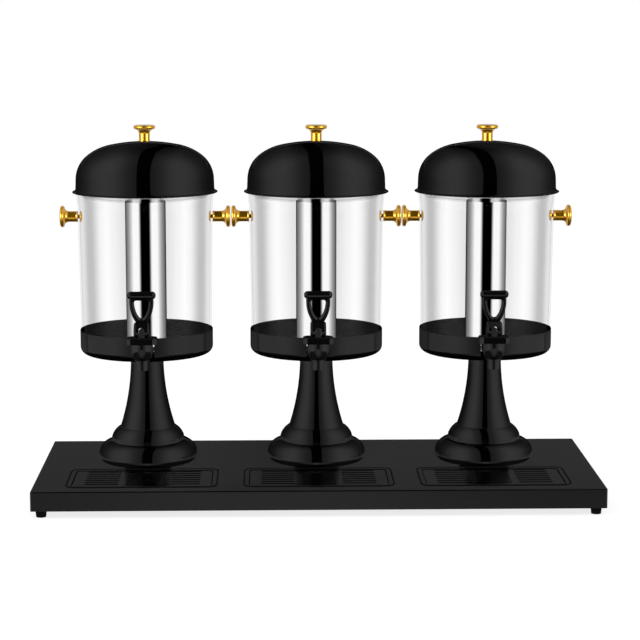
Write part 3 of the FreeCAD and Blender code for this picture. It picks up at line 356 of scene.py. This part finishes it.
def dress_nodes():
    """Give every carried-over node its material, and return the materials by kind of node."""
    enamel = black_enamel()
    pedestal = pedestal_enamel()
    tap = moulded_black()
    clear = clear_plastic()
    chrome = metal(
        "polished_steel", light=(0.96, 0.96, 0.965), dark=(0.92, 0.92, 0.925),
        rough=(0.02, 0.05), line_scale=60, stretch=(1, 1, 30),
    )
    gold = metal(
        "polished_gold", light=(1, 0.56, 0.02), dark=(0.92, 0.37, 0.004),
        rough=(0.08, 0.14), line_scale=900, purity=0.88, lacquer=1.0, edge=(1, 0.8, 0.3),
    )
    wire = metal(
        "stainless_steel", light=(0.62, 0.61, 0.6), dark=(0.5, 0.5, 0.5),
        rough=(0.2, 0.32), line_scale=700, stretch=(1, 1, 4),
    )
    zinc = metal(
        "zinc_plate", light=(0.56, 0.57, 0.6), dark=(0.44, 0.46, 0.5),
        rough=(0.3, 0.45), line_scale=500,
    )
    finishes = {
        "base_plate": plate_coat(), "drip_grid": tray_coat(0),
        "drip_tray": tray_coat(TRAY_RIM_TOP - RIM_THICK / 2),
        "pedestal_base": pedestal, "column": enamel, "cup": cup_enamel(), "lid_shell": enamel,
        "container": clear, "inner_cover": clear, "ice_tube": chrome,
        "lid_knob": gold, "side_knobs": gold,
        "tap_body": tap, "tap_bonnet": tap, "tap_nut": tap, "tap_lever": tap, "tap_stem": matte_black(),
        "tap_seal": silicone(), "tap_spring": wire, "tap_lever_pin": wire,
        "rubber_feet": rubber(), "pedestal_bolts": zinc,
    }
    for name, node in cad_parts.items():
        kind = name.rsplit("_", 1)[0] if name.rsplit("_", 1)[-1] in UNITS else name
        node.data.materials.clear()
        node.data.materials.append(finishes[kind])
        node.visible_glossy = kind in MIRRORED
    return finishes


# Seals round the drip trays

TRAY_CORNER = 0.013
SEAL_OFFSET = 0.00005
SEAL_WIDTH = 0.0024
SEAL_BEVEL = 0.0004
SEAL_RISE = 0.001


def rounded_path(low, high, radius, steps=10):
    """Points round a level rectangle with rounded corners, each with the way out from it."""
    path = []
    for turn in range(4):
        right = turn in (0, 3)
        back = turn in (0, 1)
        middle_x = high[0] - radius if right else low[0] + radius
        middle_y = high[1] - radius if back else low[1] + radius
        for step in range(steps + 1):
            angle = (turn + step / steps) * math.pi / 2
            outward = Vector((math.cos(angle), math.sin(angle), 0))
            path.append((Vector((middle_x, middle_y, 0)) + outward * radius, outward))
    return path


def seal_profile():
    """The seal's section as (way out, height over the rim's underside) pairs."""
    inner = SEAL_OFFSET
    outer = SEAL_OFFSET + SEAL_WIDTH
    top = RIM_THICK + SEAL_RISE
    return [
        (inner, 0), (outer - SEAL_BEVEL, 0), (outer, SEAL_BEVEL), (outer, top - SEAL_BEVEL),
        (outer - SEAL_BEVEL / 3, top - SEAL_BEVEL / 3), (outer - SEAL_BEVEL, top),
        (inner + SEAL_BEVEL, top), (inner, top - SEAL_BEVEL),
    ]


def fit_tray_seal(unit, material):
    """A soft ring round a drip tray's rim."""
    low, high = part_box("drip_tray_" + unit)
    path = rounded_path(low, high, TRAY_CORNER)
    profile = seal_profile()
    underside = high[2] - RIM_THICK
    points = []
    for spot, outward in path:
        for out, rise in profile:
            points.append(spot + outward * out + Vector((0, 0, underside + rise)))
    faces = wall_faces(len(path), len(profile), closed=True)
    seal = make_piece("tray_seal_" + unit, points, faces, material)
    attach(seal, "drip_tray_" + unit)


def wall_faces(rings, count, closed):
    """Faces between rings of points, the last one joined to the first where closed."""
    faces = []
    for ring in range(rings if closed else rings - 1):
        here = ring * count
        there = (ring + 1) % rings * count
        for side in range(count):
            turned = (side + 1) % count
            faces.append((here + side, there + side, there + turned, here + turned))
    return faces


def make_piece(name, points, faces, material):
    mesh = bpy.data.meshes.new(name)
    mesh.from_pydata(points, [], faces)
    mesh.materials.append(material)
    mesh.shade_smooth()
    mesh.set_sharp_from_angle(angle=math.radians(50))
    piece = bpy.data.objects.new(name, mesh)
    piece.visible_glossy = False
    bpy.context.collection.objects.link(piece)
    return piece


# Return springs in the taps

SPRING_WIRE = 0.0006
SPRING_TURNS = 6
SPRING_STEPS = 28
WIRE_SIDES = 10


def spring_height(turn, length):
    """How high the wire's middle is after a number of turns. The first and the last turn lie closed."""
    closed = 2 * SPRING_WIRE
    if turn < 1:
        return turn * closed
    if turn > SPRING_TURNS - 1:
        return length - (SPRING_TURNS - turn) * closed
    return closed + (turn - 1) / (SPRING_TURNS - 2) * (length - 2 * closed)


def wind_spring(unit, material):
    """A tap's return spring of wound wire, fixed to the container. On the real tap it shortens as the stem
    rises.
    """
    low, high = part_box("tap_spring_" + unit)
    foot = Vector(((low[0] + high[0]) / 2, (low[1] + high[1]) / 2, low[2] + SPRING_WIRE))
    radius = (high[0] - low[0]) / 2 - SPRING_WIRE
    length = high[2] - low[2] - 2 * SPRING_WIRE
    rings = SPRING_TURNS * SPRING_STEPS + 1
    points = []
    for ring in range(rings):
        turn = ring / SPRING_STEPS
        outward = Vector((math.cos(turn * 2 * math.pi), math.sin(turn * 2 * math.pi), 0))
        middle = foot + outward * radius + Vector((0, 0, spring_height(turn, length)))
        for side in range(WIRE_SIDES):
            angle = side / WIRE_SIDES * 2 * math.pi
            upward = Vector((0, 0, math.sin(angle)))
            points.append(middle + (outward * math.cos(angle) + upward) * SPRING_WIRE)
    faces = wall_faces(rings, WIRE_SIDES, closed=False)
    faces.append(tuple(range(WIRE_SIDES)))
    faces.append(tuple(range(len(points) - WIRE_SIDES, len(points)))[::-1])
    spring = make_piece("wound_spring_" + unit, points, faces, material)
    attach(spring, "container_" + unit)
    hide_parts("tap_spring_" + unit)
    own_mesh(spring)


# Studio

def sight_rays(tree):
    """1 for rays that see the background straight, mirrored or through clear plastic, otherwise 0."""
    ray = add(tree, "ShaderNodeLightPath")
    seen = maths(tree, "MAXIMUM", ray.outputs["Is Camera Ray"], ray.outputs["Is Glossy Ray"])
    return maths(tree, "MAXIMUM", seen, ray.outputs["Is Transmission Ray"])


def set_world(ambient=0.72):
    """White to look at, and a plain even light on the object."""
    world = bpy.data.worlds.new("studio")
    bpy.context.scene.world = world
    world.use_nodes = True
    tree = world.node_tree
    tree.nodes.clear()
    strength = spread(tree, sight_rays(tree), ambient, 1.0)
    back = add(tree, "ShaderNodeBackground", ("Color", WHITE), ("Strength", strength))
    add(tree, "ShaderNodeOutputWorld", ("Surface", back.outputs[0]))


def lay_floor(size=14.0, glow_level=0.8):
    """A pale floor that looks white and keeps a faint shadow. Mirrored rays pass it to the screen."""
    half = size / 2
    corners = [(-half, -half, 0), (half, -half, 0), (half, half, 0), (-half, half, 0)]
    mesh = bpy.data.meshes.new("floor")
    mesh.from_pydata(corners, [], [(0, 1, 2, 3)])
    floor = bpy.data.objects.new("floor", mesh)
    bpy.context.collection.objects.link(floor)
    material, tree = new_material("pale_floor")
    matte = add(tree, "ShaderNodeBsdfDiffuse", ("Color", (0.3, 0.3, 0.3, 1)))
    strength = maths(tree, "MULTIPLY", sight_rays(tree), glow_level)
    glow = add(tree, "ShaderNodeEmission", ("Color", WHITE), ("Strength", strength))
    lit = add(tree, "ShaderNodeAddShader", (0, matte.outputs[0]), (1, glow.outputs[0]))
    open_to_rays(tree, mirrored_ray(tree), lit)
    material.cycles.emission_sampling = "NONE"
    mesh.materials.append(material)


# How bright the screen is by how far it turns away from the plane that halves the object
SCREEN_SIDEWAYS = [
    (0, 0), (0.19, 0), (0.2, 0.25), (0.25, 0.3), (0.35, 0.35), (0.45, 0.43), (0.55, 0.53), (0.65, 0.66),
    (0.75, 0.78), (0.85, 0.85), (0.95, 0.92), (1.05, 0.93),
]
# And how much of that is left from the front, -1, to the back, 1
SCREEN_BACKWARD = [
    (-1, 1), (-0.5, 1), (-0.4, 0.98), (-0.2, 0.83), (0, 0.63), (0.2, 0.36),
    (0.4, 0.17), (0.6, 0.075), (0.8, 0.03), (1, 0.01),
]
# The same for the lower half, where a dark strip stands at either side
LOW_BACKWARD = [
    (-1, 1), (-0.34, 0.88), (0.17, 0.6), (0.46, 0.4), (0.52, 0.18), (0.6, 0.18), (0.66, 0.2), (1, 0.015),
]
# The first two for what the tubes mirror
TUBE_SIDEWAYS = [(0, 0), (0.4, 0), (0.48, 0.2), (0.56, 0.75), (0.66, 1), (1, 1)]
TUBE_BACKWARD = [(-1, 1), (-0.3, 1), (0, 0.6), (0.28, 0.35), (0.62, 0.19), (0.87, 0.12), (1, 0.05)]
TUBE_GAIN = 1.15

# Between which heights of a direction, -1 to 1, the screen changes
LOW_HALF = (-0.13, -0.15)
UNDER_TABLE = (-0.3, -0.4)
BACK_STRIP_FOOT = (0.185, 0.2)
BACK_STRIP_HEAD = (0.235, 0.25)
FRONT_STRIP_HEAD = (-0.225, -0.205)
# And the same for how far it points back, and to a side
BACK_STRIP_EDGE = (0.8, 0.93)
FRONT_STRIP_EDGE = (-0.8, -0.5)
FRONT_STRIP_MIDDLE = (0.04, 0.14)

TABLE_LEVEL = 0.1
BACK_STRIP_LEVEL = 0.072
FRONT_STRIP_LEVELS = (0.7, 0.46)
# How strongly the screen's sides close in towards the back, and how far its fall leans over the top
NARROWING = 0.7
LEAN = -0.3


def put_screen(radius=30.0):
    """A studio screen all round, which only mirrored rays see."""
    bpy.ops.mesh.primitive_uv_sphere_add(segments=96, ring_count=48, radius=radius)
    screen = bpy.context.object
    screen.name = "screen"
    screen.data.materials.append(screen_material())
    screen.visible_camera = False
    screen.visible_diffuse = False
    screen.visible_shadow = False
    screen.visible_volume_scatter = False


def screen_material():
    """Bright at both sides, dark in a narrow band from front to back over the top, and dim behind."""
    material, tree = new_material("studio_screen")
    spot = add(tree, "ShaderNodeNewGeometry").outputs["Position"]
    way = add(tree, "ShaderNodeVectorMath", (0, spot), operation="NORMALIZE").outputs[0]
    axes = add(tree, "ShaderNodeSeparateXYZ", ("Vector", way)).outputs
    back = maths(tree, "MULTIPLY_ADD", maths(tree, "MAXIMUM", axes["Z"], 0.0), LEAN, axes["Y"])
    sides = maths(tree, "ADD", side_light(tree, axes, back), back_strip(tree, axes))
    outside = maths(tree, "MAXIMUM", sides, front_strip(tree, axes))
    inside = tube_light(tree, axes, back)
    clear_walls = add(tree, "ShaderNodeLightPath").outputs["Transmission Depth"]
    through = maths(tree, "GREATER_THAN", clear_walls, 0.5)
    level = spread(tree, through, outside, inside)
    glow = add(tree, "ShaderNodeEmission", ("Color", WHITE), ("Strength", level))
    open_to_rays(tree, maths(tree, "SUBTRACT", 1.0, mirrored_ray(tree)), glow)
    material.cycles.emission_sampling = "NONE"
    return material


def product(tree, *values):
    result = values[0]
    for value in values[1:]:
        result = maths(tree, "MULTIPLY", result, value)
    return result


def side_light(tree, axes, back):
    """The screen's two bright sides, which dim towards the back and under the table."""
    narrowing = maths(tree, "POWER", spread(tree, axes["Y"], 1.0, 0.001, -1.0, 1.0), NARROWING)
    turn = maths(tree, "DIVIDE", maths(tree, "ABSOLUTE", axes["X"]), narrowing)
    is_low = spread(tree, axes["Z"], 0.0, 1.0, *LOW_HALF)
    fall = spread(tree, is_low, ramp(tree, back, SCREEN_BACKWARD), ramp(tree, back, LOW_BACKWARD))
    over_table = spread(tree, axes["Z"], 1.0, TABLE_LEVEL, *UNDER_TABLE)
    return product(tree, ramp(tree, turn, SCREEN_SIDEWAYS), fall, over_table)


def back_strip(tree, axes):
    """A dim strip straight behind, which the plate's top mirrors."""
    over_foot = spread(tree, axes["Z"], 0.0, 1.0, *BACK_STRIP_FOOT)
    under_head = spread(tree, axes["Z"], 1.0, 0.0, *BACK_STRIP_HEAD)
    level = spread(tree, axes["Y"], 0.0, BACK_STRIP_LEVEL, *BACK_STRIP_EDGE)
    return product(tree, level, over_foot, under_head)


def front_strip(tree, axes):
    """A light low in front, brightest in the middle, which the plate's front mirrors."""
    under_head = spread(tree, axes["Z"], 1.0, 0.0, *FRONT_STRIP_HEAD)
    in_front = spread(tree, axes["Y"], 1.0, 0.0, *FRONT_STRIP_EDGE)
    level = spread(tree, maths(tree, "ABSOLUTE", axes["X"]), *FRONT_STRIP_LEVELS, *FRONT_STRIP_MIDDLE)
    return product(tree, under_head, in_front, level)


def tube_light(tree, axes, back):
    """What the ice tubes mirror through the clear containers."""
    sideways = ramp(tree, aside_share(tree, axes), TUBE_SIDEWAYS)
    return product(tree, sideways, TUBE_GAIN, ramp(tree, back, TUBE_BACKWARD))


def aside_share(tree, axes):
    """How much of a direction's level part points sideways, 0 to 1."""
    level_way = add(tree, "ShaderNodeCombineXYZ", ("X", axes["X"]), ("Y", axes["Y"])).outputs[0]
    heading = add(tree, "ShaderNodeVectorMath", (0, level_way), operation="NORMALIZE").outputs[0]
    return maths(tree, "ABSOLUTE", add(tree, "ShaderNodeSeparateXYZ", ("Vector", heading)).outputs["X"])


def soft_lamp(name, spot, aim, width, height, watts):
    """A large soft lamp that lights matt surfaces and doesn't show in mirrored ones."""
    light = bpy.data.lights.new(name, "AREA")
    light.shape = "RECTANGLE"
    light.size = width
    light.size_y = height
    light.energy = watts
    lamp = bpy.data.objects.new(name, light)
    lamp.location = spot
    lamp.rotation_euler = (Vector(aim) - Vector(spot)).to_track_quat("-Z", "Y").to_euler()
    lamp.visible_glossy = False
    bpy.context.collection.objects.link(lamp)


def accent_lamp(name, spot, width, height, watts, kinds):
    """A lamp that shows in the nodes of a few kinds and lights nothing else."""
    lit = bpy.data.collections.new(name)
    for node_name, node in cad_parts.items():
        if node_name.startswith(kinds):
            lit.objects.link(node)
    soft_lamp(name, spot, KNOB_MIDDLE, width, height, watts)
    lamp = bpy.data.objects[name]
    lamp.visible_glossy = True
    lamp.visible_camera = False
    lamp.visible_transmission = False
    lamp.light_linking.receiver_collection = lit


CAMERA_PLACE = (-0.0763, -3.2096, 0.7598)
CAMERA_DIP = math.radians(8.63)
CAMERA_TURN = math.radians(-1.45)
CAMERA_LENS = 115.95


def set_camera():
    """A long lens a little above the lids, looking slightly down."""
    camera = bpy.data.cameras.new("camera")
    camera.sensor_width = 36
    camera.lens = CAMERA_LENS
    camera.clip_end = 50
    view = bpy.data.objects.new("camera", camera)
    view.location = CAMERA_PLACE
    view.rotation_euler = (math.pi / 2 - CAMERA_DIP, 0, CAMERA_TURN)
    bpy.context.collection.objects.link(view)
    bpy.context.scene.camera = view


OBJECT_MIDDLE = (0, 0, 0.28)
KNOB_MIDDLE = (0, 0, 0.5)
GOLD = ("lid_knob", "side_knobs")


def light_object():
    """Two soft lamps for everything, and three that only the gold knobs see."""
    soft_lamp("key", (-1.6, -1.8, 2.4), OBJECT_MIDDLE, width=1.6, height=1.2, watts=26)
    soft_lamp("fill", (2.0, -1.6, 1.6), OBJECT_MIDDLE, width=1.6, height=1.2, watts=12)
    accent_lamp("gold_left", (-2.2, -1.8, 0.9), width=2.0, height=1.6, watts=55, kinds=GOLD)
    accent_lamp("gold_right", (2.3, -1.6, 0.8), width=1.4, height=1.2, watts=30, kinds=GOLD)
    accent_lamp("gold_behind", (0, 3.5, 0.5), width=11, height=9, watts=160, kinds=GOLD)


set_camera()
set_world()
lay_floor()
put_screen()
light_object()
finishes = dress_nodes()
for unit in UNITS:
    fit_tray_seal(unit, finishes["rubber_feet"])
    wind_spring(unit, finishes["tap_spring"])

bpy.context.scene.view_settings.view_transform = "Standard"
